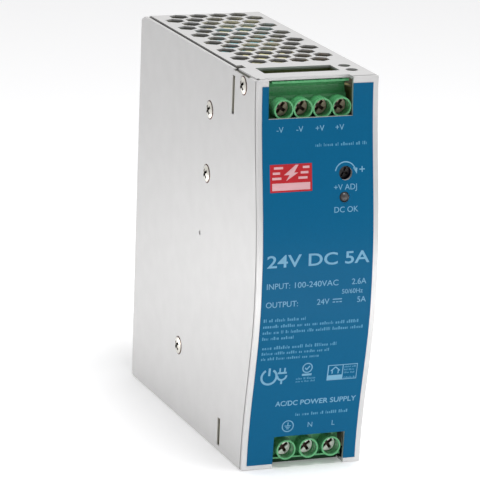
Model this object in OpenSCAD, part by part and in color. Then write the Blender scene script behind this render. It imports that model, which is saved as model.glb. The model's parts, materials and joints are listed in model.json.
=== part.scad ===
// DIN rail power supply: folded steel case, two terminal blocks, rail clip and the parts inside.
// +Z is up, the front faces -Y, the rail side faces +Y and the side cover faces -X.
// The origin is the middle of the footprint, at the bottom.

/* [Case] */
// Width across the rail
case_w = 40; // [38:0.5:46]
// Height of the case
case_h = 125.2; // [124:0.2:128]
// Depth from the front bulge to the rail seat
case_d = 113.5; // [112:0.5:118]
// How far the rail hooks stand behind the rail seat
rail_reach = 3.4; // [3.2:0.1:4.5]
// Thickness of the steel sheet
sheet = 1.0; // [0.8:0.1:1.2]
// Width of the dark seams between front panel and case
seam = 0.8; // [0.4:0.1:1]

/* [Front curve] */
// Height where the front starts to ease back upwards
bulge_top = 66; // [64:1:68]
// How far the top of the front sits back from the bulge
upper_set = 5.8; // [5:0.1:6]
// Height over which the upper part eases back
upper_run = 59; // [57:1:62]
// Height where the front starts to ease back downwards
bulge_low = 58; // [56:1:60]
// How far the bottom of the front sits back from the bulge
lower_set = 7.3; // [7:0.1:8]
// Height over which the lower part eases back
lower_run = 58; // [56:1:60]

/* [Vents] */
// Hexagon size across its flats
vent_af = 5.7; // [4:0.1:6]
// Distance between hexagons in a row
vent_pitch = 7; // [6.5:0.1:7.2]
// Distance between rows
vent_row_step = 6.06; // [6.06:0.01:6.1]
// Number of rows
vent_rows = 13; // [5:2:13]

/* [Terminals] */
// Distance between output poles
out_pitch = 6.35; // [6.35:0.05:6.6]
// Distance between input poles
in_pitch = 7.62; // [7.5:0.02:7.8]
// Height of the output screws
out_z = 115.7; // [115:0.1:116]
// Height of the input screws
in_z = 5.7; // [5.6:0.1:6]
// Depth of the output terminal block
out_depth = 18.9; // [18.8:0.1:19]
// Depth of the input terminal block
in_depth = 20.7; // [20.5:0.1:21]
// Radius of a terminal screw's thread
screw_r = 1.5; // [1.4:0.05:1.5]

/* [Rail clip] */
// Height of the middle of the mounting rail
rail_z = 64; // [62:0.5:66]
// Height of the mounting rail
rail_h = 35; // [35:0.1:35.4]

/* [Hidden] */

$fn = 48;
eps = 0.01;

label_t = 0.15;
front_y = -(case_d + rail_reach) / 2;
seat_y = front_y + case_d;
// middle of the case's depth: places inside the case are measured from it
mid_y = (front_y + seat_y) / 2;
half_w = case_w / 2;
inner_top = case_h - sheet;
front_steps = 50;

// bevel at the top back edge
bevel_run = 3.5;
bevel_drop = 1.5;
bevel_end = 0.75;
back_radius = 1.5;

// gap beside the cover's top edge, and how far that edge stays below the top
cover_gap = 0.7;
cover_drop = 0.4;

// notches that let the terminal blocks show: [left, right, edge height]
out_notch = [-16.2, 11.65, 113.1];
in_notch = [-9.7, 14.3, 10.5];
notch_depth = 3.9;
// windows for the wires: [left, right, front, back]
out_window = [-13.9, 11.1, -41, -32.8];
in_window = [-9.7, 14.3, -60, -28.6];

trimmer_at = [9.1, 95.6];
trimmer_hole_r = 2.2;
led_at = [8.6, 88.3];
led_hole_r = 1.65;
led_r = 1.5;

// middle of each block, its front face and its poles
out_x = -1.25;
in_x = 2.4;
out_front = -50.4;
in_front = -49.5;
out_poles = 4;
in_poles = 3;
tube_r = 3.2;
tube_bore_r = 2.7;

// screws in the side cover: [depth from the middle, height]
cover_screw_at = [-39.1, 121.3];
heatsink_at = [[-10.4, 107.3], [-9.5, 86.4], [11.6, 23.4]];
out_slot = [out_front + out_depth + 0.8, 110.5, 122.7, 2.0];
in_slot = [in_front + in_depth + 0.8, 1.7, 10.7, 2.2];

// the printed board and its places
board_x = 13.0;
board_t = 1.6;
standoff_at = [[-38, 103], [-42, 22], [46, 115], [46, 8]];
thread_gap = 0.05;

// the clip
hook_gap = 1.5;
lip_gap = 0.5;
latch_half = 9;
latch_t = 1.5;
latch_y = 0.2;
spring_z = [22, 38];
spring_r = 1.35;
spring_wire = 0.5;
spring_turns = 8;
spring_y = 1.75;

steel = [0.78, 0.79, 0.80];
bright = [0.85, 0.85, 0.86];
green = [0.24, 0.58, 0.35];
brass = [0.80, 0.66, 0.36];
tin = [0.74, 0.75, 0.76];
black = [0.10, 0.10, 0.11];
olive = [0.55, 0.50, 0.30];

// ---------- helpers ----------

// smooth step from 0 to 1
function ease(t) = let (c = min(max(t, 0), 1)) c * c * (3 - 2 * c);

// how far the front sits behind its foremost line at height z
function front_set(z) = z > bulge_top
    ? upper_set * ease((z - bulge_top) / upper_run)
    : lower_set * ease((bulge_low - z) / lower_run);

// places along the front curve, from z0 up to z1, set back by inset
function front_line(z0, z1, inset) = [
    for (i = [0 : front_steps])
        let (z = z0 + (z1 - z0) * i / front_steps)
        [front_y + front_set(z) + inset, z]
];

function reversed(list) = [for (i = [len(list) - 1 : -1 : 0]) list[i]];

// moves children to a place measured from the middle of the depth
module place(x, y, z) translate([x, mid_y + y, z]) children();

// extrudes an outline drawn in depth and height from x0 to x1
module side_extrude(x0, x1)
    translate([x0, 0, 0]) rotate([90, 0, 90]) linear_extrude(x1 - x0) children();

// a slab that follows the front curve, between two insets
module front_slab(x0, x1, z0, z1, inset0, inset1)
    side_extrude(x0, x1)
        polygon(concat(front_line(z0, z1, inset0), reversed(front_line(z0, z1, inset1))));

// a box from its low corner to its high corner, depths measured from the middle
module block(low, high) place(low[0], low[1], low[2]) cube(high - low);

// a cylinder along X, from x0 to x1
module rod_x(x0, x1, r) translate([x0, 0, 0]) rotate([0, 90, 0]) cylinder(h = x1 - x0, r = r);

// a cylinder along Y, from y0 to y1
module rod_y(y0, y1, r) translate([0, y0, 0]) rotate([-90, 0, 0]) cylinder(h = y1 - y0, r = r);

// a cross for a screwdriver, sunk by depth below z = 0
module cross_recess(width, span, depth)
    for (turn = [0, 90])
        rotate([0, 0, turn]) translate([-span / 2, -width / 2, -depth]) cube([span, width, depth + 1]);

// a low domed head that stands on z = 0
module dome(r, h) {
    ball = (r * r + h * h) / (2 * h);
    intersection() {
        translate([0, 0, h - ball]) sphere(ball, $fn = 96);
        cylinder(h = h, r = r);
    }
}

// a side screw: its head rests on z = 0 and its shank goes down
module side_screw(length)
    difference() {
        union() {
            dome(3.1, 0.7);
            translate([0, 0, -length]) cylinder(h = length + eps, r = screw_r);
        }
        translate([0, 0, 0.7]) rotate([0, 0, 40]) cross_recess(0.9, 3.4, 1.1);
    }

// turns a part made along +Z so that it stands out of the cover, towards -X
module out_of_cover() rotate([0, -90, 0]) children();

// ---------- case ----------

// outline of the top, back and bottom of the case, as one bent sheet
module wrap_outline() {
    top_front = front_y + front_set(case_h) + sheet + seam;
    low_front = front_y + front_set(0) + sheet + seam;
    outer = [
        [top_front, case_h],
        [seat_y - bevel_run - bevel_end, case_h],
        [seat_y - bevel_end, case_h - bevel_drop],
        [seat_y, case_h - bevel_drop - bevel_end],
        [seat_y, back_radius],
        [seat_y - back_radius * 0.3, back_radius * 0.3],
        [seat_y - back_radius, 0],
        [low_front, 0]
    ];
    inner = [
        [low_front, sheet],
        [seat_y - sheet, sheet],
        [seat_y - sheet, case_h - bevel_drop - sheet],
        [seat_y - bevel_run - bevel_end, inner_top],
        [top_front, inner_top]
    ];
    polygon(concat(outer, inner));
}

// outline of a side wall, whose front edge starts behind the panel
module wall_outline()
    polygon(concat(front_line(0, case_h, sheet + seam), [
        [seat_y - bevel_run - bevel_end, case_h],
        [seat_y - bevel_end, case_h - bevel_drop],
        [seat_y, case_h - bevel_drop - bevel_end],
        [seat_y, back_radius],
        [seat_y - back_radius * 0.3, back_radius * 0.3],
        [seat_y - back_radius, 0]
    ]));

// staggered hexagonal holes, as upright cutters
module vent_cutters(first_y, rows) {
    middle = 0.75;
    for (row = [0 : rows - 1]) {
        count = row % 2 == 0 ? 4 : 5;
        for (i = [0 : count - 1])
            place(middle + (i - (count - 1) / 2) * vent_pitch, first_y + row * vent_row_step, -2)
                rotate([0, 0, 30]) cylinder(h = 6, r = vent_af / sqrt(3), $fn = 6);
    }
}

module window_cutter(window)
    block([window[0], window[2], -2], [window[1], window[3], 4]);

// cuts a notch into the front edge of the top or the bottom, ahead of y = 0
module notch_cutter(notch, z)
    translate([notch[0], -10, z]) cube([notch[1] - notch[0], 10, sheet + 2]);

function panel_rivet_places() = [for (z = [40, 92]) [front_y + front_set(z) + 6, z]];
function bracket_rivet_places() = [[-4, 91], [4, 91], [-12.8, 18], [12.8, 18], [-12.8, 32], [12.8, 32]];

module chassis() color(steel)
    difference() {
        union() {
            side_extrude(-half_w + sheet + cover_gap, half_w) wrap_outline();
            side_extrude(half_w - sheet, half_w) wall_outline();
            // flanges that the cover lies on, at the top, bottom and back
            block([-half_w + sheet, -47.4, case_h - 9], [-half_w + 2 * sheet, -32, case_h]);
            block([-half_w + sheet, -47.4, inner_top], [-half_w + 3, -32, case_h]);
            block([-half_w + sheet + 0.1, -15, 0], [-half_w + 2 * sheet, 40, 7]);
            place(-half_w + sheet + 0.1, 46, 12) cube([sheet - 0.1, seat_y - mid_y - 46 - eps, 96]);
            place(-half_w + sheet + 0.1, seat_y - mid_y - sheet, 12) cube([1, sheet, 96]);
        }
        translate([0, 0, case_h - sheet]) vent_cutters(-23.8, vent_rows);
        vent_cutters(-10, 10);
        translate([0, 0, case_h - sheet]) window_cutter(out_window);
        window_cutter(in_window);
        // the notches run on into the top and bottom
        translate([0, front_y + front_set(case_h) + notch_depth, 0]) notch_cutter(out_notch, inner_top - 1);
        // relief at the end of the top flange
        block([-half_w - 1, -32, inner_top - 1], [-half_w + 3.5, -28, case_h + 1]);
        // two test holes beside the wire window
        for (y = [-40.8, -34.6])
            place(15.1, y, case_h - 3) cylinder(h = 5, r = 1.95);
        place(-half_w, cover_screw_at[0], cover_screw_at[1]) rod_x(-1, 4, screw_r + thread_gap);
        for (p = panel_rivet_places())
            translate([half_w, p[0], p[1]]) rod_x(-3, 3, 1.5);
        for (p = standoff_at)
            place(half_w, p[0], p[1]) rod_x(-3, 3, 1.7);
        for (p = bracket_rivet_places())
            translate([p[0], seat_y, p[1]]) rod_y(-3, 3, 1.6);
    }

module side_cover() color(steel)
    difference() {
        side_extrude(-half_w, -half_w + sheet) wall_outline();
        block([-half_w - 1, -60, case_h - cover_drop], [-half_w + 2, 60, case_h + 1]);
        // lowered further where the flange of the top shows
        block([-half_w - 1, -44, inner_top], [-half_w + 2, -30.5, case_h + 1]);
        place(-half_w, cover_screw_at[0], cover_screw_at[1]) rod_x(-1, 3, 1.7);
        for (p = heatsink_at)
            place(-half_w, p[0], p[1]) rod_x(-1, 3, 1.7);
        for (slot = [out_slot, in_slot])
            block([-half_w - 1, slot[0] - slot[3] / 2, slot[1]], [-half_w + 2, slot[0] + slot[3] / 2, slot[2]]);
        // pilot mark
        place(-half_w, -5.1, 65.9) rod_x(-1, 0.35, 0.8);
    }

module front_openings() {
    block([out_notch[0], -70, out_notch[2]], [out_notch[1], -40, case_h + 1]);
    block([in_notch[0], -70, -1], [in_notch[1], -30, in_notch[2]]);
    place(trimmer_at[0], 0, trimmer_at[1]) rod_y(-70, -45, trimmer_hole_r);
    place(led_at[0], 0, led_at[1]) rod_y(-70, -45, led_hole_r);
}

module front_panel() color(steel)
    difference() {
        union() {
            front_slab(-half_w, half_w, 0, case_h, label_t, sheet + label_t);
            // side flanges, tucked inside the case
            for (x = [-half_w + sheet + 0.1, half_w - 2 * sheet - 0.1])
                front_slab(x, x + sheet, 28, 104, sheet, 11);
        }
        front_openings();
        for (p = panel_rivet_places())
            translate([half_w, p[0], p[1]]) rod_x(-4, 3, 1.5);
    }

module front_label() color([0.03, 0.36, 0.54])
    difference() {
        front_slab(-half_w + 1.7, half_w - 1.7, 0, case_h, 0, label_t);
        block([-half_w, -70, -1], [half_w, -30, 1.4]);
        block([-half_w, -70, case_h - 2], [half_w, -30, case_h + 1]);
        front_openings();
    }

module cover_screw() color(bright)
    place(-half_w, cover_screw_at[0], cover_screw_at[1]) out_of_cover() side_screw(3.2);

module heatsink_screws() color(bright)
    for (p = heatsink_at)
        place(-half_w, p[0], p[1]) out_of_cover() side_screw(4.2);

// a blind rivet along +Z, gripping from z = 0 down to -grip
module rivet(r, grip, head_r) {
    dome(head_r, 0.6);
    translate([0, 0, -grip - 0.8]) cylinder(h = grip + 0.8 + eps, r = r);
    translate([0, 0, -grip - 0.8]) cylinder(h = 0.8, r = r + 0.5);
}

module panel_rivets() color(tin)
    for (p = panel_rivet_places())
        translate([half_w, p[0], p[1]]) rotate([0, 90, 0]) rivet(1.45, 2.1, 2.6);

// ---------- rail clip ----------

// one fixed hook, drawn in depth and height
module hook_outline() {
    top = rail_z + rail_h / 2;
    polygon([
        [seat_y, top + lip_gap],
        [seat_y + hook_gap, top + lip_gap],
        [seat_y + hook_gap, top - 2.3],
        [seat_y + hook_gap + 0.5, top - 3],
        [seat_y + rail_reach, top - 2.4],
        [seat_y + rail_reach, top + 1.6],
        [seat_y + 1.2, top + 3.4],
        [seat_y, top + 3.4]
    ]);
}

module rail_bracket() color(tin)
    difference() {
        union() {
            for (x = [-13, 7])
                side_extrude(x, x + 6) hook_outline();
            translate([-13, seat_y, rail_z + rail_h / 2 + 2]) cube([26, 1.2, 13.5]);
        }
        for (p = bracket_rivet_places())
            translate([p[0], seat_y, p[1]]) rod_y(-1, 3, 1.6);
        // the plate is cut away between the hooks
        translate([-7, seat_y - 1, rail_z + rail_h / 2]) cube([14, 4, 5]);
    }

// two side rails that hold the latch, joined by a bridge with the spring's seat
module latch_guide() color(tin)
    difference() {
        union() {
            for (side = [0, 1])
                mirror([side, 0, 0]) {
                    translate([latch_half + 0.3, seat_y, 14]) cube([6.2, 1.2, 22]);
                    translate([latch_half + 0.3, seat_y, 14]) cube([1, 3.1, 22]);
                    translate([7, seat_y + 1.9, 14]) cube([3.3, 1.2, 22]);
                }
            translate([-8, seat_y + 1.9, 14]) cube([16, 1.2, 8]);
            translate([-2.2, seat_y + 0.1, 20.8]) cube([4.4, 2, 1.2]);
        }
        for (p = bracket_rivet_places())
            translate([p[0], seat_y, p[1]]) rod_y(-1, 3, 1.6);
    }

module bracket_rivets() color(tin)
    for (p = bracket_rivet_places())
        translate([p[0], seat_y + 1.2, p[1]]) rotate([-90, 0, 0]) rivet(1.55, 2.2, 2.2);

module rail_latch() color(bright) {
    low_lip = rail_z - rail_h / 2;
    difference() {
        union() {
            translate([-latch_half, seat_y + latch_y, 5]) cube([2 * latch_half, latch_t, low_lip - 5.3]);
            side_extrude(-latch_half, latch_half) polygon([
                [seat_y + 1.6, low_lip - 3.5],
                [seat_y + 3.1, low_lip - 2.5],
                [seat_y + 3.1, low_lip + 2.2],
                [seat_y + 2.4, low_lip + 3],
                [seat_y + 1.6, low_lip + 2.2]
            ]);
        }
        // window for the spring
        translate([-2.6, seat_y, spring_z[0] - 1.4]) cube([5.2, 4, spring_z[1] - spring_z[0] + 1.4]);
        // slot for a screwdriver blade
        translate([-4, seat_y, 7]) cube([8, 3, 3]);
    }
}

// a point of the spring's tube: i along the wire, j around it
function coil_point(i, j) =
    let (
        turn = i * 30,
        span = spring_z[1] - spring_z[0] - spring_wire - 0.1,
        level = spring_z[0] + 0.05 + spring_wire / 2 + span * i / (spring_turns * 12),
        around = j * 60,
        r = spring_r + spring_wire / 2 * cos(around)
    )
    [r * cos(turn), seat_y + spring_y + r * sin(turn), level + spring_wire / 2 * sin(around)];

module latch_spring() color(bright) {
    rings = spring_turns * 12;
    sides = 6;
    points = [for (i = [0 : rings]) for (j = [0 : sides - 1]) coil_point(i, j)];
    walls = [
        for (i = [0 : rings - 1]) for (j = [0 : sides - 1])
            [i * sides + j, (i + 1) * sides + j, (i + 1) * sides + (j + 1) % sides, i * sides + (j + 1) % sides]
    ];
    first = [for (j = [0 : sides - 1]) j];
    last = [for (j = [sides - 1 : -1 : 0]) rings * sides + j];
    polyhedron(points, concat([first], walls, [last]), convexity = 10);
}

// ---------- terminal blocks ----------
// A block is drawn with the middle of its front at the origin, its depth along +Y,
// and the side that the wires enter on +Z.

body_front = 4.6;
shoulder = [6.15, 7.2];
chamber = [7.2, 17.3];
chamber_half = [2.55, 2.65];
bar = [11.7, 12.5];
under = 5.6;
strip_z = [-4.6, -3.8];
clamp_y = [10.3, 17.1];
clamp_wall = [1.2, 1.0];
// where the top of the output block steps down behind its brow, and to what height
brow_end = 10.5;
low_back = 4.4;
// how far the input block is cut back above the lip beside its tubes
lip_back = 9.5;

function pole_x(i, poles, pitch) = (i - (poles - 1) / 2) * pitch;

// section of the housing behind the tubes
module housing_outline(reach, depth) {
    hollow = reach > 7;
    arc = [for (a = [-65 : 12.5 : 60]) [4.0 + 2.4 * cos(a), 5.5 + 2.4 * sin(a)]];
    brow = [[2.8, reach - 0.6], [2.8, reach], [brow_end, reach], [brow_end, low_back], [depth, low_back]];
    plain = [[body_front, 2.8], [2.0, 2.8], [2.0, 3.3], [lip_back, 3.3], [lip_back, reach], [depth, reach]];
    polygon(concat(
        [[body_front, -under]],
        hollow ? concat([[body_front, 2.6]], arc, brow) : plain,
        [[depth, -under]]
    ));
}

// web that joins a row of tubes
module tube_web(width)
    translate([-width / 2 + 0.3, 0.3, -0.7]) cube([width - 0.6, 5, 1.4]);

module terminal_housing(poles, pitch, reach, depth) {
    width = poles * pitch;
    difference() {
        union() {
            for (i = [0 : poles - 1])
                translate([pole_x(i, poles, pitch), 0, 0]) rod_y(0, shoulder[0], tube_r);
            side_extrude(-width / 2, width / 2) housing_outline(reach, depth);
            if (reach > 7) tube_web(width);
        }
        for (i = [0 : poles - 1])
            translate([pole_x(i, poles, pitch), 0, 0]) {
                rod_y(-1, shoulder[0], tube_bore_r);
                rod_y(0, chamber[0] + eps, screw_r + 0.12);
                // room for the clamp
                translate([-chamber_half[0], chamber[0], -chamber_half[1]])
                    cube([2 * chamber_half[0], chamber[1] - chamber[0], 2 * chamber_half[1]]);
                // wire entry
                translate([-2.4, bar[1], 0]) cube([4.8, 4.4, reach + 1]);
                // slots of the contact strip
                translate([-1.8, bar[0] - 0.05, strip_z[0] - 0.05])
                    cube([3.6, bar[1] - bar[0] + 0.1, 4]);
                translate([-1.8, bar[0] - 0.05, strip_z[0] - 0.05]) cube([3.6, depth, 0.9]);
            }
    }
}

// one contact strip: a bar that the wire is pressed on, a foot and a solder pin
module contact_strip(depth) {
    translate([-1.75, bar[0], strip_z[0]]) cube([3.5, bar[1] - bar[0], 2.4 - strip_z[0]]);
    translate([-1.75, bar[0], strip_z[0]]) cube([3.5, depth - bar[0] - 0.3, strip_z[1] - strip_z[0]]);
    translate([-0.5, depth - 0.5, strip_z[0]]) cube([1, 2.7, strip_z[1] - strip_z[0]]);
}

module terminal_screw()
    difference() {
        union() {
            rod_y(3.4, 6.1, 2.5);
            rod_y(6, 11.1, screw_r);
            translate([0, 11.1, 0]) rotate([-90, 0, 0]) cylinder(h = 0.4, r1 = screw_r, r2 = 1.1);
        }
        translate([0, 3.4, 0]) rotate([90, 35, 0]) cross_recess(1.05, 4.0, 1.6);
    }

// the cage that rises along the screw and grips the wire against the bar
module wire_clamp()
    difference() {
        translate([-2.45, clamp_y[0], -2.5]) cube([4.9, clamp_y[1] - clamp_y[0], 5]);
        translate([-1.9, clamp_y[0] + clamp_wall[0], -3])
            cube([3.8, clamp_y[1] - clamp_y[0] - clamp_wall[0] - clamp_wall[1], 6]);
        rod_y(clamp_y[0] - 1, clamp_y[0] + clamp_wall[0] + 1, screw_r + thread_gap);
        // teeth on the gripping face
        for (z = [-1.4, 0, 1.4])
            translate([-1.9, clamp_y[1] - clamp_wall[1] - eps, z - 0.2]) cube([3.8, 0.25, 0.4]);
    }

module at_output() place(out_x, out_front, out_z) children();
module at_input() place(in_x, in_front, in_z) mirror([0, 0, 1]) children();
module at_output_pole(i) at_output() translate([pole_x(i, out_poles, out_pitch), 0, 0]) children();
module at_input_pole(i) at_input() translate([pole_x(i, in_poles, in_pitch), 0, 0]) children();

module output_terminal_housing() color(green)
    at_output() terminal_housing(out_poles, out_pitch, 8.2, out_depth);

module input_terminal_housing() color(green)
    at_input() terminal_housing(in_poles, in_pitch, 5.4, in_depth);

module output_contacts() color(brass)
    for (i = [0 : out_poles - 1]) at_output_pole(i) contact_strip(out_depth);

module input_contacts() color(brass)
    for (i = [0 : in_poles - 1]) at_input_pole(i) contact_strip(in_depth);

module output_screw(i) color(bright) at_output_pole(i) terminal_screw();
module input_screw(i) color(bright) at_input_pole(i) terminal_screw();
module output_clamp(i) color(tin) at_output_pole(i) wire_clamp();
module input_clamp(i) color(tin) at_input_pole(i) wire_clamp();

// ---------- boards ----------

module main_board() color(olive)
    difference() {
        side_extrude(board_x, board_x + board_t) translate([mid_y, 0]) polygon([
            [-47, 120.5], [50, 120.5], [50, 4], [-25, 4], [-25, 12], [-44.5, 12], [-45, 16],
            [-50.3, 45], [-50.3, 98]
        ]);
        for (p = standoff_at)
            place(0, p[0], p[1]) rod_x(board_x - 1, board_x + 3, 1.6);
    }

module board_standoffs() color(brass)
    for (p = standoff_at)
        place(0, p[0], p[1]) difference() {
            union() {
                rod_x(board_x + board_t, half_w - sheet, 2.6);
                rod_x(half_w - sheet - eps, half_w - 0.1, 1.65);
            }
            rod_x(board_x, half_w - 1.6, screw_r + thread_gap);
        }

module board_screws() color(bright)
    for (p = standoff_at)
        place(board_x, p[0], p[1]) rotate([0, -90, 0]) difference() {
            union() {
                dome(2.8, 1.8);
                translate([0, 0, -4.6]) cylinder(h = 4.7, r = screw_r);
            }
            translate([0, 0, 1.8]) cross_recess(0.8, 3.2, 1.0);
        }

module insulation_sheet() color([0.85, 0.83, 0.70])
    difference() {
        block([17.2, -41, 2.5], [17.5, 51, 121.5]);
        for (p = standoff_at)
            place(0, p[0], p[1]) rod_x(16, 19, 3.2);
    }

// a small upright board behind a terminal block, whose tab shows in the cover's slot
module terminal_board(y, z0, z1, tab0, tab1, pins, pin_z)
    difference() {
        union() {
            block([-half_w + 2.1, y, z0], [board_x, y + board_t, z1]);
            block([-half_w + 0.6, y, tab0], [-half_w + 3, y + board_t, tab1]);
        }
        for (x = pins)
            place(x, 0, pin_z) rod_y(y - 1, y + board_t + 1, 0.8);
    }

wire_stop = [0.8, 3.0];

module output_terminal_board() color(olive) {
    terminal_board(out_front + out_depth, 101, 124, out_slot[1] + 0.5, out_slot[2] - 0.5,
        [for (i = [0 : out_poles - 1]) out_x + pole_x(i, out_poles, out_pitch)],
        out_z + (strip_z[0] + strip_z[1]) / 2);
    // stops behind the wire entries
    at_output() for (i = [1 : 2 * out_poles - 1])
        translate([(i - out_poles) * out_pitch / 2 - wire_stop[0] / 2, chamber[1], low_back])
            cube([wire_stop[0], out_depth - chamber[1] + eps, wire_stop[1]]);
}

module input_terminal_board() color(olive)
    terminal_board(in_front + in_depth, 1.3, 22, in_slot[1] + 0.3, in_slot[2] - 0.3,
        [for (i = [0 : in_poles - 1]) in_x + pole_x(i, in_poles, in_pitch)],
        in_z - (strip_z[0] + strip_z[1]) / 2);

// ---------- trimmer and lamp ----------

trimmer_front = -51.7;

module trimmer_body() color([0.12, 0.22, 0.45])
    difference() {
        block([5.9, trimmer_front + 0.5, 92.4], [board_x, -47.2, 98.8]);
        place(trimmer_at[0], 0, trimmer_at[1]) rod_y(trimmer_front, trimmer_front + 2.1, 2.05);
    }

module trimmer_rotor() color([0.20, 0.17, 0.16])
    place(trimmer_at[0], trimmer_front, trimmer_at[1]) difference() {
        rod_y(0, 2.0, 1.98);
        rotate([90, 25, 0]) cross_recess(0.7, 3.0, 0.8);
    }

module status_led() color([0.55, 0.48, 0.42])
    place(led_at[0], -52.6, led_at[1]) {
        rod_y(-1.6, 1.6, led_r);
        translate([0, -1.6, 0]) sphere(led_r);
        rod_y(1.0, 2.0, 1.9);
    }

module led_leads() color(tin)
    for (z = [-1.27, 1.27])
        place(led_at[0], -50.65, led_at[1] + z) {
            rod_y(0.05, 2.5, 0.25);
            translate([0, 2.25, 0]) rod_x(-0.25, board_x - led_at[0], 0.25);
        }

// ---------- parts on the main board ----------
// Each stands on the board's face and points to -X.

transformer_at = [-0.5, 112.2];
core_half = [15.3, 6.5];
core_x = [-12, 12.8];
yoke = 3.8;
winding_r = [6.7, 11.2];
winding_x = [-7.1, 7.9];

module at_part(p) place(0, p[0], p[1]) children();

module transformer_core() color(black)
    at_part(transformer_at) {
        for (x = [core_x[0], core_x[1] - yoke])
            translate([x, -core_half[0], -core_half[1]]) cube([yoke, 2 * core_half[0], 2 * core_half[1]]);
        for (y = [-core_half[0], core_half[0] - 3.4])
            translate([core_x[0], y, -core_half[1]])
                cube([core_x[1] - core_x[0], 3.4, 2 * core_half[1]]);
        rod_x(core_x[0] + 1, core_x[1] - 1, 5.4);
    }

module transformer_bobbin() color([0.16, 0.15, 0.14])
    at_part(transformer_at) {
        difference() {
            union() {
                rod_x(winding_x[0] - 0.9, winding_x[1] + 0.9, 6.5);
                rod_x(winding_x[0] - 0.9, winding_x[0] - 0.1, 11.6);
                rod_x(winding_x[1] + 0.1, winding_x[1] + 0.9, 11.6);
            }
            rod_x(-15, 15, 5.6);
        }
        // pin rails
        for (z = [7, -11.4])
            translate([winding_x[1] + 0.2, -10.5, z]) cube([board_x - winding_x[1] - 0.2, 21, 4.4]);
    }

module transformer_winding() color([0.93, 0.86, 0.45])
    at_part(transformer_at) difference() {
        rod_x(winding_x[0], winding_x[1], winding_r[1]);
        rod_x(-15, 15, winding_r[0]);
    }

// an upright can with a rounded base, a crimped neck and a scored top
module capacitor_can(r, h)
    translate([board_x, 0, 0]) rotate([0, -90, 0]) difference() {
        cylinder(h = h, r = r);
        translate([0, 0, 1.8]) rotate_extrude() translate([r + 0.1, 0]) circle(0.5);
        translate([0, 0, h - 0.4]) cylinder(h = 1, r = r * 0.82);
    }

module bulk_capacitor() color([0.10, 0.11, 0.16])
    at_part([34, 62]) capacitor_can(11.2, 29);

module output_capacitors() color([0.13, 0.16, 0.20])
    for (z = [93.5, 81.5, 69.5]) at_part([-25, z]) capacitor_can(5.2, 22);

module auxiliary_capacitor() color([0.15, 0.55, 0.62])
    at_part([24.5, 118.2]) capacitor_can(5.2, 19);

// ring of a toroid, from its inner to its outer radius, between two heights over the board
module ring(r0, r1, h0, h1, angle)
    translate([board_x - h0, 0, 0]) rotate([0, -90, 0])
        rotate_extrude(angle = angle) translate([r0, 0]) square([r1 - r0, h1 - h0]);

// shell of wire wound round a ring
module winding_shell(r0, r1, h0, h1, wire, start, angle)
    rotate([start, 0, 0]) difference() {
        ring(r0 - wire, r1 + wire, h0 - wire, h1 + wire, angle);
        rotate([2, 0, 0]) ring(r0, r1, h0, h1, 360);
    }

output_choke_at = [-22.8, 116.8];
line_choke_at = [6, 26];

module output_choke_core() color([0.85, 0.80, 0.35])
    at_part(output_choke_at) ring(3.3, 5.4, 2.2, 8.6, 360);

module output_choke_winding() color([0.78, 0.45, 0.25])
    at_part(output_choke_at) winding_shell(3.25, 5.45, 2.15, 8.65, 0.85, 0, 350);

module line_choke_core() color([0.20, 0.35, 0.25])
    at_part(line_choke_at) ring(5.2, 9.4, 2.2, 9.6, 360);

module line_choke_windings() color([0.72, 0.40, 0.22])
    at_part(line_choke_at) for (start = [12, 192])
        winding_shell(5.15, 9.45, 2.15, 9.65, 1.0, start, 156);

// a moulded box capacitor with chamfered outer edges
module box_capacitor(size, chamfer)
    translate([board_x, -size[1] / 2, -size[2] / 2]) rotate([0, -90, 0]) difference() {
        translate([0, 0, 0.6]) cube([size[2], size[1], size[0] - 0.6]);
        for (x = [0, size[2]])
            translate([x, -1, size[0]]) rotate([0, 45, 0])
                cube([chamfer, 2 * (size[1] + 2), chamfer], center = true);
    }

module x_capacitor() color([0.90, 0.78, 0.25])
    at_part([-15, 19]) {
        box_capacitor([15, 11, 18], 1);
        for (z = [-7.5, 7.5]) translate([0, 0, z]) rod_x(board_x - 1, board_x, 0.4);
    }

module film_capacitor() color([0.88, 0.80, 0.40])
    at_part([36.5, 114.2]) {
        box_capacitor([16, 11, 18], 1);
        for (z = [-7.5, 7.5]) translate([0, 0, z]) rod_x(board_x - 1, board_x, 0.4);
    }

// a dipped disc on two leads
module disc_part(r, t, lift)
    translate([board_x - lift - r, 0, 0]) {
        rod_y(-t / 2, t / 2, r);
        for (z = [-2.5, 2.5]) translate([0, 0, z]) rod_x(r * 0.6, r + lift, 0.35);
    }

module y_capacitors() color([0.20, 0.45, 0.75])
    for (z = [12, 27]) at_part([24, z]) disc_part(4.4, 3.4, 1.2);

module thermistor() color([0.15, 0.20, 0.15])
    at_part([-20.5, 38]) disc_part(6, 4.4, 1.2);

module varistor() color([0.20, 0.35, 0.65])
    at_part([-30.5, 31]) disc_part(5.4, 4.0, 1.2);

module fuse() color([0.80, 0.78, 0.70])
    at_part([-38, 42]) translate([board_x - 3.4, 0, 0]) {
        translate([0, 0, -9]) cylinder(h = 18, r = 2.4);
        for (z = [-10, 5]) translate([0, 0, z]) cylinder(h = 5, r = 2.6);
        for (z = [-8, 8]) translate([0, 0, z]) rod_x(0, 3.4, 0.4);
    }

module bridge_rectifier() color(black)
    at_part([34, 21]) {
        difference() {
            translate([-7, -1.8, -11]) cube([17, 3.6, 22]);
            rod_y(-3, 3, 1.8);
        }
        for (i = [0 : 3])
            translate([9.5, -0.4, -7.6 + i * 5.08 - 0.5]) cube([board_x - 9.5, 0.8, 1]);
    }

spreader_x = [-18.95, -16.9];

module heat_spreaders() color([0.75, 0.76, 0.78])
    difference() {
        union() {
            block([spreader_x[0], -18.5, 79], [spreader_x[1], -5, 113.5]);
            block([spreader_x[0], 5, 15], [spreader_x[1], 20, 31]);
        }
        for (p = heatsink_at)
            place(0, p[0], p[1]) rod_x(-20, -15, screw_r + thread_gap);
    }

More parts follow.
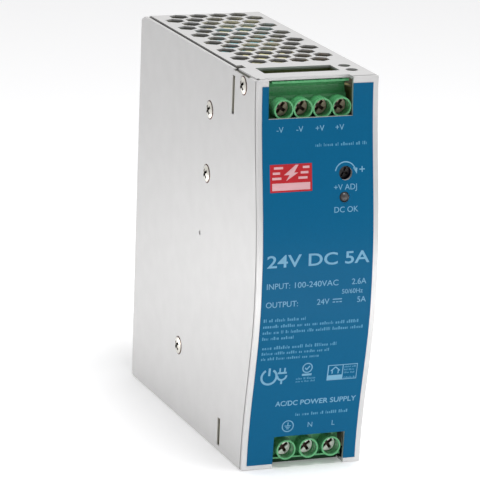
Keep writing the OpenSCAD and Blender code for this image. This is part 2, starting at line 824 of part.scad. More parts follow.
// a power package: tab with its hole, moulded body and three long legs
module power_package() {
    difference() {
        union() {
            translate([spreader_x[1], -5, -12]) cube([1.3, 10, 15.5]);
            translate([spreader_x[1], -5, -12]) cube([4.3, 10, 9]);
        }
        rod_x(-20, -10, 1.7);
    }
    for (y = [-2.54, 0, 2.54]) {
        translate([spreader_x[1] + 2.2, y - 0.4, -14.5]) cube([0.6, 0.8, 3]);
        translate([spreader_x[1] + 2.2, y - 0.4, -14.8])
            cube([board_x - spreader_x[1] - 2.2, 0.8, 0.6]);
    }
}

module power_transistors() color(black)
    for (p = heatsink_at) at_part(p) power_package();

// a small moulded chip with bent legs along both edges
module chip(across, along, legs) {
    translate([board_x - 4, -across / 2, -along / 2]) cube([3.4, across, along]);
    for (side = [-1, 1])
        for (i = [0 : legs - 1])
            translate([board_x - 2.6, side * (across / 2 + 0.3) - 0.35, (i - (legs - 1) / 2) * 2.54 - 0.3])
                cube([2.6, 0.7, 0.6]);
}

module control_chips() color(black) {
    at_part([-6, 58]) chip(6.4, 9.8, 4);
    for (y = [-10, 4]) at_part([y, 66.6]) chip(6.4, 4.6, 2);
}

// ---------- nodes ----------

chassis();
front_panel();
front_label();
side_cover();
cover_screw();
heatsink_screws();
panel_rivets();
rail_bracket();
latch_guide();
bracket_rivets();
rail_latch();
latch_spring();
main_board();
board_standoffs();
board_screws();
insulation_sheet();
output_terminal_board();
input_terminal_board();
output_terminal_housing();
output_contacts();
output_screw(0);  // output_screw_1
output_screw(1);  // output_screw_2
output_screw(2);  // output_screw_3
output_screw(3);  // output_screw_4
output_clamp(0);  // output_clamp_1
output_clamp(1);  // output_clamp_2
output_clamp(2);  // output_clamp_3
output_clamp(3);  // output_clamp_4
input_terminal_housing();
input_contacts();
input_screw(0);  // input_screw_1
input_screw(1);  // input_screw_2
input_screw(2);  // input_screw_3
input_clamp(0);  // input_clamp_1
input_clamp(1);  // input_clamp_2
input_clamp(2);  // input_clamp_3
trimmer_body();
trimmer_rotor();
status_led();
led_leads();
transformer_core();
transformer_bobbin();
transformer_winding();
bulk_capacitor();
output_capacitors();
auxiliary_capacitor();
output_choke_core();
output_choke_winding();
line_choke_core();
line_choke_windings();
x_capacitor();
film_capacitor();
y_capacitors();
fuse();
thermistor();
varistor();
bridge_rectifier();
heat_spreaders();
power_transistors();
control_chips();
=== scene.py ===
"""Looks of a DIN rail power supply: materials, printed front, wound and moulded parts, studio light."""
import json
import math
import random

import bpy
from mathutils import Matrix, Vector
from mathutils.bvhtree import BVHTree


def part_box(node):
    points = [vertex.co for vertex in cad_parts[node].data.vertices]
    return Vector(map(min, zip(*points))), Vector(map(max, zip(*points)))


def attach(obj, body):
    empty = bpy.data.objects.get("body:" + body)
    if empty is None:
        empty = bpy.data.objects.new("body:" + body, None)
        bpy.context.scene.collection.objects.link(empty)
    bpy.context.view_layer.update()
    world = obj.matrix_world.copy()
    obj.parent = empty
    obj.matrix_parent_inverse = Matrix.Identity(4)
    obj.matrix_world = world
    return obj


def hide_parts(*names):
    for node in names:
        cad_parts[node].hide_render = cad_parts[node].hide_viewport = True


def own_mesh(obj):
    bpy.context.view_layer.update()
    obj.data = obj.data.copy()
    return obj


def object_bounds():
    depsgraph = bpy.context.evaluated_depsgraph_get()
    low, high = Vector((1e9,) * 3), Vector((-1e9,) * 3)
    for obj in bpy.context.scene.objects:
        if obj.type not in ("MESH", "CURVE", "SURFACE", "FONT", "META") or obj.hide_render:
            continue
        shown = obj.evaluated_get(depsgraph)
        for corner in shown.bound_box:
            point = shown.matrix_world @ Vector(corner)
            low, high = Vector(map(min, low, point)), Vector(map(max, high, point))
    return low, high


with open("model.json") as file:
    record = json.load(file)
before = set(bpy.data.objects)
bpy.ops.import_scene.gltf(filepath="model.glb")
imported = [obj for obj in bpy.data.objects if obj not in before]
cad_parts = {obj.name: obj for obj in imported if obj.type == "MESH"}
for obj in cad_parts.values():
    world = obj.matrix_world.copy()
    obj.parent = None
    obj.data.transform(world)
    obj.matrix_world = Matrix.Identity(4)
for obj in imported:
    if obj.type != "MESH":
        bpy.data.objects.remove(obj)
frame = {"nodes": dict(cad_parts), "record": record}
cad_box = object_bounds()
nodes = frame["nodes"]
MM = 0.001
# the body that every fixed piece rides on
HOME = "enclosure"
# the fine print comes out the same each run
random.seed(7)

# a noise texture's values lie mostly between these
NOISE_LOW, NOISE_HIGH = 0.3, 0.7
# the case's inner faces lie further in than this from its outer box
INSIDE = 0.5 * MM
# faces this close to the case's front count as outer ones
FRONT_ZONE = 8 * MM
# faces deeper in a screw's head than this are its recess, which is painted dark as shade
RECESS_START = 0.5 * MM
# painted shade colour for the screws' cross recesses
RECESS_SHADE_COLOUR = (0.075, 0.035, 0.027, 1)


# ---------- materials ----------

def shader(name):
    """A new material with its node tree, its main shader and the object's own coordinates."""
    mat = bpy.data.materials.new(name)
    mat.use_nodes = True
    tree = mat.node_tree
    main = tree.nodes["Principled BSDF"]
    coords = tree.nodes.new("ShaderNodeTexCoord")
    return mat, tree, main, coords.outputs["Object"]


def noise(tree, coords, scale, detail=4.0, grain=(1, 1, 1)):
    """Noise of the given scale per metre, stretched by grain."""
    mapping = tree.nodes.new("ShaderNodeMapping")
    mapping.inputs["Scale"].default_value = grain
    tree.links.new(coords, mapping.inputs["Vector"])
    tex = tree.nodes.new("ShaderNodeTexNoise")
    tex.inputs["Scale"].default_value = scale
    tex.inputs["Detail"].default_value = detail
    tree.links.new(mapping.outputs["Vector"], tex.inputs["Vector"])
    return tex.outputs["Fac"]


def ramp(tree, fac, stops):
    """Colour ramp through (position, colour) stops."""
    node = tree.nodes.new("ShaderNodeValToRGB")
    elements = node.color_ramp.elements
    while len(elements) < len(stops):
        elements.new(0.5)
    for element, (place, colour) in zip(elements, stops):
        element.position = place
        element.color = (*colour, 1)
    tree.links.new(fac, node.inputs["Fac"])
    return node.outputs["Color"]


def mottle(tree, fac, dark, light):
    """Turns a noise into shades between two colours."""
    return ramp(tree, fac, [(NOISE_LOW, dark), (NOISE_HIGH, light)])


def spread(tree, fac, low, high):
    """Maps the usual range of a noise to low..high."""
    node = tree.nodes.new("ShaderNodeMapRange")
    node.inputs["From Min"].default_value = NOISE_LOW
    node.inputs["From Max"].default_value = NOISE_HIGH
    node.inputs["To Min"].default_value = low
    node.inputs["To Max"].default_value = high
    tree.links.new(fac, node.inputs["Value"])
    return node.outputs["Result"]


def bump(tree, main, height, strength, distance):
    """Raises and sinks the surface by a height map; distance is its full height in metres."""
    node = tree.nodes.new("ShaderNodeBump")
    node.inputs["Strength"].default_value = strength
    node.inputs["Distance"].default_value = distance
    tree.links.new(height, node.inputs["Height"])
    tree.links.new(node.outputs["Normal"], main.inputs["Normal"])


def tone(colour, k):
    """The colour made k times as bright."""
    return tuple(min(1.0, c * k) for c in colour)


def feed(tree, value, socket):
    """Gives an input its value, which is another socket, a number or a colour."""
    if isinstance(value, bpy.types.NodeSocket):
        tree.links.new(value, socket)
    else:
        socket.default_value = value


def math_node(tree, operation, first, second):
    """The result of a maths operation on two sockets or numbers."""
    node = tree.nodes.new("ShaderNodeMath")
    node.operation = operation
    feed(tree, first, node.inputs[0])
    feed(tree, second, node.inputs[1])
    return node.outputs["Value"]


def mix_colour(tree, factor, first, second):
    """The first colour where factor is 0, and the second where it is 1."""
    node = tree.nodes.new("ShaderNodeMix")
    node.data_type = "RGBA"
    feed(tree, factor, node.inputs["Factor"])
    feed(tree, first, node.inputs["A"])
    feed(tree, second, node.inputs["B"])
    return node.outputs["Result"]


def split(tree, vector):
    """The X, Y and Z of a vector socket."""
    node = tree.nodes.new("ShaderNodeSeparateXYZ")
    tree.links.new(vector, node.inputs["Vector"])
    return [node.outputs[axis] for axis in "XYZ"]


def surface(name, colour, rough, metal=0.0, vary=0.08, scale=500, grain=(1, 1, 1), relief=0.15,
            depth=0.02, coat=0.0, glow=0.0, specular=0.5):
    """A material whose colour, roughness and relief vary a little with noise.

    vary is the share by which the colour varies, scale and grain are those of the noise, relief is the
    strength of the bump and depth its height in millimetres, and glow is light under the surface.
    """
    mat, tree, main, coords = shader(name)
    cloud = noise(tree, coords, scale * 0.15, 3.0)
    fine = noise(tree, coords, scale, 5.0, grain)
    shade = mottle(tree, cloud, tone(colour, 1 - vary), tone(colour, 1 + vary))
    tree.links.new(shade, main.inputs["Base Color"])
    tree.links.new(spread(tree, fine, rough * 0.85, rough * 1.15), main.inputs["Roughness"])
    main.inputs["Metallic"].default_value = metal
    main.inputs["Coat Weight"].default_value = coat
    main.inputs["Coat Roughness"].default_value = 0.15
    main.inputs["Specular IOR Level"].default_value = specular
    main.inputs["Subsurface Weight"].default_value = glow
    main.inputs["Subsurface Radius"].default_value = (0.4, 1.0, 0.5)
    main.inputs["Subsurface Scale"].default_value = 0.8 * MM
    bump(tree, main, fine, relief, depth * MM)
    return mat


def inside_case(tree, coords):
    """1 on faces inside the case, which get painted shade, and 0 on its outer faces."""
    low, high = (Vector(c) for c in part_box("chassis"))
    low.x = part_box("side_cover")[0][0]
    low.y += FRONT_ZONE
    result = 1.0
    for value, start, end in zip(split(tree, coords), low, high):
        above = math_node(tree, "GREATER_THAN", value, start + INSIDE)
        below = math_node(tree, "LESS_THAN", value, end - INSIDE)
        result = math_node(tree, "MULTIPLY", result, math_node(tree, "MULTIPLY", above, below))
    return result


def sheet_steel():
    """Satin zinc-coated sheet: faint spangle, fine rolled grain, and inner faces painted dark as shade, the
    painted shade deepest low down.
    """
    mat, tree, main, coords = shader("sheet_steel")
    spangle = noise(tree, coords, 160, 2.0)
    grain = noise(tree, coords, 2600, 3.0, (1, 0.35, 1))
    bright = mottle(tree, spangle, (0.585, 0.58, 0.575), (0.605, 0.60, 0.595))
    case_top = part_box("chassis")[1][2]
    height = math_node(tree, "MULTIPLY", split(tree, coords)[2], 1 / case_top)
    # painted shade inside the case: near black low down, lighter towards the top
    painted_inner_shade = ramp(tree, height, [(0.3, (0.03, 0.032, 0.028)), (0.9, (0.24, 0.24, 0.21))])
    shade = mix_colour(tree, inside_case(tree, coords), bright, painted_inner_shade)
    tree.links.new(shade, main.inputs["Base Color"])
    tree.links.new(spread(tree, grain, 0.44, 0.50), main.inputs["Roughness"])
    main.inputs["Metallic"].default_value = 0.55
    bump(tree, main, grain, 0.06, 0.01 * MM)
    return mat


def label_film():
    """Printed film: even blue with the faint mottle of a matt laminate."""
    mat, tree, main, coords = shader("label_film")
    grain = noise(tree, coords, 1400, 4.0)
    blue = mottle(tree, grain, (0.0, 0.094, 0.205), (0.0, 0.100, 0.217))
    tree.links.new(blue, main.inputs["Base Color"])
    tree.links.new(spread(tree, grain, 0.40, 0.44), main.inputs["Roughness"])
    main.inputs["Specular IOR Level"].default_value = 0.1
    bump(tree, main, grain, 0.03, 0.01 * MM)
    return mat


def screw_head(name, node, axis, colour, rough, metal):
    """A screw whose cross recess is painted dark as shade; the head of the CAD node faces down the given
    axis.
    """
    mat = surface(name, colour, rough, metal, 0.05, 900, relief=0.05)
    tree = mat.node_tree
    main = tree.nodes["Principled BSDF"]
    shade = main.inputs["Base Color"].links[0].from_socket
    along = "XYZ".index(axis)
    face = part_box(node)[0][along]
    coords = tree.nodes.new("ShaderNodeTexCoord").outputs["Object"]
    # painted shade on the recess faces
    shaded_recess = math_node(tree, "GREATER_THAN", split(tree, coords)[along], face + RECESS_START)
    tree.links.new(mix_colour(tree, shaded_recess, shade, RECESS_SHADE_COLOUR), main.inputs["Base Color"])
    return mat


def laminate_board():
    """Tan paper laminate, with its fibre mottle."""
    mat, tree, main, coords = shader("laminate_board")
    fibre = noise(tree, coords, 900, 5.0, (1, 1, 0.3))
    tan = mottle(tree, fibre, (0.20, 0.18, 0.065), (0.27, 0.245, 0.10))
    tree.links.new(tan, main.inputs["Base Color"])
    main.inputs["Roughness"].default_value = 0.55
    bump(tree, main, fibre, 0.15, 0.02 * MM)
    return mat


# the record's slots by name, then finishes that only some pieces of a slot have
MATERIALS = {
    "steel_sheet": sheet_steel(),
    "label_print": label_film(),
    "board_tan": laminate_board(),
    "bright_steel": surface("bright_steel", (0.72, 0.70, 0.67), 0.22, 1.0, 0.05, 900, relief=0.05),
    "zinc_steel": surface("zinc_steel", (0.56, 0.56, 0.57), 0.38, 1.0, 0.08, 700),
    "terminal_green": surface("terminal_green", (0.085, 0.345, 0.14), 0.28, 0, 0.06, 500, relief=0.08,
                              glow=0.1),
    "tinned_brass": surface("tinned_brass", (0.66, 0.55, 0.33), 0.32, 1.0, 0.08),
    "film_clear": surface("film_clear", (0.80, 0.76, 0.58), 0.45),
    # painted shade: the trimmer sits deep behind the front, so its body's own blue and its rotor are
    # painted near black
    "trimmer_blue": surface("trimmer_blue", (0.004, 0.008, 0.03), 0.5),
    "rotor_dark": surface("rotor_dark", (0.012, 0.009, 0.010), 0.45, 0, 0.12, 700),
    "lamp_lens": surface("lamp_lens", (0.05, 0.045, 0.045), 0.35, 0, 0.05, 300, coat=0.1),
    "ferrite": surface("ferrite", (0.045, 0.045, 0.05), 0.50, 0, 0.2, 900, relief=0.3),
    "black_mould": surface("black_mould", (0.02, 0.02, 0.022), 0.42, 0, 0.2, 900, relief=0.3),
    "tape_yellow": surface("tape_yellow", (0.95, 0.88, 0.45), 0.35, 0, 0.07, 400, coat=0.3),
    "sleeve_dark": surface("sleeve_dark", (0.02, 0.025, 0.045), 0.28, 0, 0.1, 300, coat=0.3),
    "sleeve_teal": surface("sleeve_teal", (0.10, 0.48, 0.55), 0.28, 0, 0.1, 300, coat=0.3),
    "powder_yellow": surface("powder_yellow", (0.60, 0.52, 0.12), 0.55),
    "powder_green": surface("powder_green", (0.05, 0.14, 0.08), 0.55),
    "enamel_copper": surface("enamel_copper", (0.62, 0.27, 0.12), 0.25, 0.9, 0.1, 600, coat=0.4),
    "film_box": surface("film_box", (0.92, 0.84, 0.42), 0.35, 0, 0.05, 400, coat=0.2),
    "disc_blue": surface("disc_blue", (0.03, 0.12, 0.35), 0.30, 0, 0.1, 300, coat=0.3),
    "disc_dark": surface("disc_dark", (0.03, 0.05, 0.035), 0.35, 0, 0.1, 300, coat=0.2),
    "fuse_ceramic": surface("fuse_ceramic", (0.62, 0.60, 0.52), 0.30, 0, 0.05, 300, coat=0.3),
    "aluminium_bar": surface("aluminium_bar", (0.62, 0.63, 0.65), 0.35, 1.0, 0.05, 900, (1, 1, 0.1)),
    # a dark copy of terminal_green: painted shade for under the input block's lip
    "terminal_painted_shade": surface("terminal_painted_shade", (0.014, 0.045, 0.022), 0.5, 0, 0.06, 500, specular=0.1),
    "output_screw": screw_head("output_screw", "output_screw_1", "Y", (0.46, 0.33, 0.26), 0.35, 0.1),
    "input_screw": screw_head("input_screw", "input_screw_1", "Y", (0.86, 0.85, 0.80), 0.3, 0.3),
    "side_screw": screw_head("side_screw", "heatsink_screws", "X", (0.70, 0.68, 0.62), 0.22, 1.0),
    "print_pale": surface("print_pale", (0.165, 0.36, 0.51), 0.5, 0, 0.05, 900, specular=0.15),
    "print_fine": surface("print_fine", (0.08, 0.27, 0.42), 0.5, 0, 0.05, 900, specular=0.15),
    "print_red": surface("print_red", (0.42, 0.018, 0.024), 0.45, 0, 0.06, 900, specular=0.15),
    "print_bolt": surface("print_bolt", (0.62, 0.36, 0.38), 0.5, 0, 0.05, 900, specular=0.15),
}


def finish_node(name, material):
    """Gives a CAD node its material."""
    slots = nodes[name].data.materials
    slots.clear()
    slots.append(MATERIALS[material])


for part in frame["record"]["subparts"]:
    finish_node(part["node"], part["material_slot"])
for number in range(1, 5):
    finish_node(f"output_screw_{number}", "output_screw")
for number in range(1, 4):
    finish_node(f"input_screw_{number}", "input_screw")
for name in ("heatsink_screws", "cover_screw"):
    finish_node(name, "side_screw")


# ---------- printed front ----------

# Places on the front are in millimetres: x from the middle of the case, and height above its foot.

# half the thickness of the printed artwork
INK = 0.03 * MM


def front_surface():
    """A function that gives the Y of the label's face at a height, both in metres."""
    label = nodes["front_label"].data
    tree = BVHTree.FromPolygons([v.co for v in label.vertices], [p.vertices for p in label.polygons])

    def depth(z):
        hit = tree.ray_cast(Vector((0, -1, z)), Vector((0, 1, 0)))[0]
        return hit.y

    return depth


face_y = front_surface()


def lay_on_front(obj, x, z, material, layer=1):
    """Wraps flat artwork, drawn in its own XY plane, on the curved front at (x, z) in metres.

    Artwork of layer 2 lies on that of layer 1.
    """
    mesh = obj.data
    for v in mesh.vertices:
        up = z + v.co.y
        v.co = Vector((x + v.co.x, face_y(up) - v.co.z - (layer - 1) * INK, up))
    mesh.materials.clear()
    mesh.materials.append(MATERIALS[material])
    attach(obj, HOME)


def mesh_object(name, verts, faces):
    """A new object in the scene, from its vertices and faces."""
    mesh = bpy.data.meshes.new(name)
    mesh.from_pydata(verts, [], faces)
    mesh.validate()
    obj = bpy.data.objects.new(name, mesh)
    bpy.context.scene.collection.objects.link(obj)
    return obj


def slab(outlines):
    """Closed thin prisms over flat outlines, as vertices and faces."""
    verts, faces = [], []
    for outline in outlines:
        n = len(outline)
        base = len(verts)
        verts += [(p[0], p[1], -INK) for p in outline]
        verts += [(p[0], p[1], INK) for p in outline]
        faces.append([base + n + i for i in range(n)])
        faces.append([base + i for i in reversed(range(n))])
        for i in range(n):
            j = (i + 1) % n
            faces.append([base + i, base + j, base + n + j, base + n + i])
    return verts, faces


def artwork(name, outlines, x, z, material="print_pale", layer=1):
    """Prints flat outlines on the front at (x, z)."""
    lay_on_front(mesh_object(name, *slab(outlines)), x * MM, z * MM, material, layer)


# height of a capital in the font, as a share of its size
CAPITAL = 0.73


def lettering(name, text, x, z, tall, align="CENTER", weight=0.0, stretch=1.0):
    """Printed characters of a given height, centred on (x, z) or starting there.

    weight is how much bolder than the font the strokes are, and stretch how much wider.
    """
    curve = bpy.data.curves.new(name, "FONT")
    curve.body = text
    curve.size = tall / CAPITAL * MM
    curve.align_x = align
    curve.offset = weight * MM
    curve.align_y = "CENTER"
    curve.extrude = INK
    curve.resolution_u = 4
    temp = bpy.data.objects.new(name + "_curve", curve)
    bpy.context.scene.collection.objects.link(temp)
    mesh = bpy.data.meshes.new_from_object(temp.evaluated_get(bpy.context.evaluated_depsgraph_get()))
    mesh.name = name
    bpy.data.objects.remove(temp)
    bpy.data.curves.remove(curve)
    mesh.transform(Matrix.Diagonal((stretch, 1, 1, 1)))
    obj = bpy.data.objects.new(name, mesh)
    bpy.context.scene.collection.objects.link(obj)
    lay_on_front(obj, x * MM, z * MM, "print_pale")


def polygon(*corners):
    """Outline through corners in millimetres."""
    return [(x * MM, y * MM) for x, y in corners]


def rectangle(x0, y0, x1, y1):
    """Outline of an upright rectangle between two corners."""
    return polygon((x0, y0), (x1, y0), (x1, y1), (x0, y1))


def ring(radius, width, start=0, end=360, steps=48):
    """Outlines of the short cells of a flat ring, or of a part of it between two angles in degrees."""
    inner, outer = (radius - width / 2) * MM, (radius + width / 2) * MM
    cells = []
    for i in range(steps):
        a0, a1 = (math.radians(start + (end - start) * k / steps) for k in (i, i + 1))
        cells.append([(r * math.cos(a), r * math.sin(a))
                      for r, a in ((outer, a0), (outer, a1), (inner, a1), (inner, a0))])
    return cells


# sizes in a row of fine print, as shares of its height
LETTER_WIDTHS = (0.16, 0.3, 0.38)
LETTER_HEIGHTS = (0.5, 0.55, 0.8)
LETTER_GAP = 0.2
WORD_GAP = 0.45


def fine_print(name, left, right, z, height):
    """A row of small bars where fine print would be."""
    bars = []
    x = left
    while x < right:
        letters = random.randint(2, 8)
        for _ in range(letters):
            wide = height * random.choice(LETTER_WIDTHS)
            tall = height * random.choice(LETTER_HEIGHTS)
            if x + wide > right:
                break
            bars.append(rectangle(x, -height / 2, x + wide, -height / 2 + tall))
            x += wide + height * LETTER_GAP
        x += height * WORD_GAP
    artwork(name, bars, 0, z, "print_fine")


def bar(x0, z0, x1, z1, width):
    """Outline of a straight stroke from one place to another."""
    run, rise = x1 - x0, z1 - z0
    length = math.hypot(run, rise)
    side, up = -rise / length * width / 2, run / length * width / 2
    return polygon((x0 + side, z0 + up), (x0 - side, z0 - up), (x1 - side, z1 - up), (x1 + side, z1 + up))


# terminal marks, trimmer and lamp marks
OUTPUT_MARKS = ((-12.5, "-V"), (-6.0, "-V"), (0.65, "+V"), (7.2, "+V"))
for i, (x, mark) in enumerate(OUTPUT_MARKS, 1):
    lettering(f"mark_output_{i}", mark, x, 109.7, 1.85)
lettering("mark_neutral", "N", 2.1, 13.8, 1.75)
lettering("mark_line", "L", 9.9, 13.8, 1.75)
lettering("mark_adjust", "+V ADJ", 9.0, 91.3, 1.85)
lettering("mark_ready", "DC OK", 9.1, 84.4, 1.85)
artwork("mark_more", [bar(-0.9, 0, 0.9, 0, 0.35), bar(0, -0.9, 0, 0.9, 0.35)], 14.6, 96.6)
artwork("mark_turn", ring(3.4, 0.35, 18, 168, 30) + [polygon((3.95, 1.35), (2.5, 1.55), (3.75, -0.45))],
        9.05, 95.7)
artwork("mark_earth", ring(1.85, 0.3) + [bar(0, 0.1, 0, 1.3, 0.28)] + [
    bar(-half, z, half, z, 0.26) for half, z in ((1.05, 0.1), (0.72, -0.4), (0.4, -0.9))], -5.4, 13.9)

# ratings
lettering("title", "24V DC 5A", 0, 69.2, 4.0, weight=0.06, stretch=1.3)
lettering("input_word", "INPUT:", -16.9, 61.5, 1.9, "LEFT")
lettering("input_range", "100-240VAC", -8.0, 61.5, 1.9, "LEFT", stretch=1.1)
lettering("input_current", "2.6A", 11.5, 61.5, 1.9, "LEFT")
lettering("input_rate", "50/60Hz", 8.3, 58.5, 1.5, "LEFT")
lettering("output_word", "OUTPUT:", -16.9, 55.6, 1.9, "LEFT")
lettering("output_volts", "24V", 0.1, 55.6, 1.9, "LEFT")
lettering("output_current", "5A", 13.5, 55.6, 1.9, "LEFT")
artwork("direct_current", [bar(5.4, 0.45, 8.5, 0.45, 0.3)] + [
    bar(x, -0.45, x + 0.8, -0.45, 0.3) for x in (5.4, 6.55, 7.7)], 0, 55.8)
lettering("kind_word", "AC/DC", -6.6, 21.8, 1.75, weight=0.03)
lettering("kind_name", "POWER SUPPLY", 7.3, 21.8, 1.75, weight=0.03, stretch=1.12)

# rows of fine print: left, right, height on the front, size of the letters
FINE_ROWS = ((-0.8, 17.0, 104.8, 1.3), (-17.2, -2.0, 50.8, 1.3), (-17.2, 15.2, 48.8, 1.3),
             (-17.2, 17.0, 46.8, 1.3), (-17.2, -6.5, 44.8, 1.3), (-16.9, 8.2, 41.6, 1.35),
             (-16.9, 6.5, 39.7, 1.2), (-16.9, 2.7, 37.9, 1.2), (-3.2, 14.5, 17.9, 1.3),
             (-4.4, 2.2, 30.3, 0.9), (-4.4, 2.0, 29.3, 0.8), (11.6, 15.6, 33.2, 0.7),
             (11.6, 15.2, 32.2, 0.7), (11.6, 15.4, 31.2, 0.7), (11.6, 15.6, 29.5, 0.8))
for i, (left, right, z, size) in enumerate(FINE_ROWS, 1):
    fine_print(f"fine_print_{i}", left, right, z, size)

# plain pictograms: standby sign, plug, tick in a ring over a bar, house in a box
artwork("icon_standby", ring(2.5, 0.7, 120, 420, 40) + [bar(0, 0.4, 0, 3.0, 0.7)], -13.6, 31.5)
artwork("icon_plug", [bar(-1.5, 0.9, 1.5, 0.9, 0.6), bar(-0.8, 1.0, -0.8, 2.6, 0.5),
                      bar(0.8, 1.0, 0.8, 2.6, 0.5), bar(0, -1.3, 0, -2.9, 0.6)]
        + ring(1.5, 0.6, 180, 360, 24), -9.3, 31.7)
artwork("icon_tick", [*ring(1.55, 0.35), bar(-0.8, 0.05, -0.2, -0.6, 0.4),
                      bar(-0.3, -0.65, 0.75, 0.6, 0.4)], -0.95, 33.7)
artwork("icon_tick_note", [bar(-1.6, 0, 1.6, 0, 0.7)], -0.95, 31.4)
artwork("icon_box", [bar(6.1, 33.9, 15.9, 33.9, 0.25), bar(6.1, 28.9, 15.9, 28.9, 0.25),
                     bar(6.15, 28.8, 6.15, 34.0, 0.35), bar(11.1, 28.8, 11.1, 34.0, 0.3),
                     bar(15.9, 28.8, 15.9, 34.0, 0.2), bar(6.1, 29.7, 11.1, 29.7, 1.6)], 0, 0)
artwork("icon_house", [bar(-1.5, -0.2, 0, 1.1, 0.35), bar(0, 1.1, 1.5, -0.2, 0.35),
                       bar(-1.0, 0, -1.0, -1.2, 0.3), bar(1.0, 0, 1.0, -1.2, 0.3)], 8.6, 32.2)

# coloured mark: a bolt between short bars, over a pale band
bolt = [polygon((1.6, 3.7), (-2.3, 0.7), (-0.5, 0.7), (0.6, 0.7), (2.5, 3.7)),
        polygon((-0.5, 0.7), (-1.6, -1.1), (2.4, 1.35), (0.6, 1.35), (0.6, 0.7))]
short_bars = [bar(x0, z, x1, z, 0.7) for x0, x1, z in (
    (-5.6, -2.6, 2.9), (-6.0, -3.6, 1.3), (-6.2, -3.2, -0.3),
    (3.9, 6.1, 2.9), (3.2, 5.7, 1.3), (2.4, 5.4, -0.3))]
artwork("badge", [rectangle(-6.9, -4.25, 6.9, 4.25)], -9.0, 95.05, "print_red")
artwork("badge_bolt", bolt + short_bars, -9.0, 95.3, "print_bolt", 2)
artwork("badge_band", [rectangle(-6.25, -1.1, 6.25, 1.1)], -9.0, 92.45, "print_bolt", 2)


# ---------- wound and moulded parts ----------

def add_piece(name, verts, faces, slot, node=None, body=HOME, finish=None):
    """A finer piece, in the shared frame, in metres. It stands for the CAD node, if one is named.

    Its material is that of its slot, or the one named as its finish.
    """
    obj = mesh_object(name, verts, faces)
    obj.data.materials.append(MATERIALS[finish or slot])
    for face in obj.data.polygons:
        face.use_smooth = True
    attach(obj, body)
    if node:
        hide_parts(node)
    return obj


def tube(path, radius, sides):
    """Vertices and faces of a round wire along a path of points, closed at both ends."""
    verts, faces = [], []
    last = len(path) - 1
    normal = None
    for i, here in enumerate(path):
        along = (path[min(i + 1, last)] - path[max(i - 1, 0)]).normalized()
        if normal is None:
            normal = along.orthogonal().normalized()
        normal = (normal - along * normal.dot(along)).normalized()
        other = along.cross(normal)
        for j in range(sides):
            angle = 2 * math.pi * j / sides
            verts.append(here + radius * (math.cos(angle) * normal + math.sin(angle) * other))
    for i in range(last):
        for j in range(sides):
            k = (j + 1) % sides
            faces.append([i * sides + j, i * sides + k, (i + 1) * sides + k, (i + 1) * sides + j])
    faces.append(list(reversed(range(sides))))
    faces.append([last * sides + j for j in range(sides)])
    return verts, faces


def lathe(profile, centre, axis, steps=64):
    """Turns a closed profile of (distance along, radius), in millimetres, about an axis through centre."""
    along = Vector(axis)
    first = along.orthogonal().normalized()
    second = along.cross(first)
    verts, faces = [], []
    n = len(profile)
    for i in range(steps):
        angle = 2 * math.pi * i / steps
        out = math.cos(angle) * first + math.sin(angle) * second
        verts += [Vector(centre) + along * (x * MM) + out * (r * MM) for x, r in profile]
        for j in range(n):
            k = (j + 1) % n
            nxt = (i + 1) % steps
            faces.append([i * n + j, i * n + k, nxt * n + k, nxt * n + j])
    return verts, faces


def merge(parts):
    """One list of vertices and faces from several."""
    verts, faces = [], []
    for more, cells in parts:
        base = len(verts)
        verts += more
        faces += [[base + i for i in cell] for cell in cells]
    return verts, faces


# points on each turn of a choke's wire, and how square the turn is: 2 would make it round
CHOKE_POINTS = 20
SQUARENESS = 5


def wound_ring(core, wire, turns, start, end, thick):
    """A wire wound round the ring of a core, between two angles in degrees.

    The ring's axis lies along X, and thick is the width of its section.
    """
    low, high = (Vector(c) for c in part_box(core))
    centre = (low + high) / 2
    outer = (high.z - low.z) / 2
    half_high = (high.x - low.x) / 2 + wire / 2
    half_wide = thick / 2 + wire / 2
    mean = outer - thick / 2
    path = []
    steps = turns * CHOKE_POINTS
    for i in range(steps + 1):
        angle = math.radians(start + (end - start) * i / steps)
        sweep = 2 * math.pi * turns * i / steps
        c, s = math.cos(sweep), math.sin(sweep)
        bulge = (abs(c) ** SQUARENESS + abs(s) ** SQUARENESS) ** (-1 / SQUARENESS)
        r = mean + half_wide * c * bulge
        path.append(Vector((centre.x + half_high * s * bulge, centre.y + r * math.cos(angle),
                            centre.z + r * math.sin(angle))))
    return tube(path, wire / 2, 8)


# the painted shade plate's distance behind the front of the input block, its thickness and its height
SHADE_PLATE_SETBACK = 4.6 * MM
SHADE_PLATE_THICK = 0.8 * MM
SHADE_PLATE_TALL = 2.1 * MM


def add_shade_plate():
    """A dark plate under the lip of the input block: painted shade where the block's face under the lip
    lies in shadow.
    """
    low, high = (Vector(c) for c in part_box("input_terminal_housing"))
    low.y += SHADE_PLATE_SETBACK
    high.y = low.y + SHADE_PLATE_THICK
    high.z = low.z + SHADE_PLATE_TALL
    corners = [Vector((x, y, z)) for x in (low.x, high.x) for y in (low.y, high.y) for z in (low.z, high.z)]
    sides = [(0, 1, 3, 2), (4, 6, 7, 5), (0, 4, 5, 1), (2, 3, 7, 6), (0, 2, 6, 4), (1, 5, 7, 3)]
    add_piece("input_block_painted_shade", corners, sides, "terminal_green", finish="terminal_painted_shade")


SPRING_TURNS = 8
SPRING_WIRE = 0.5 * MM
# points on each turn of the spring
SPRING_POINTS = 24


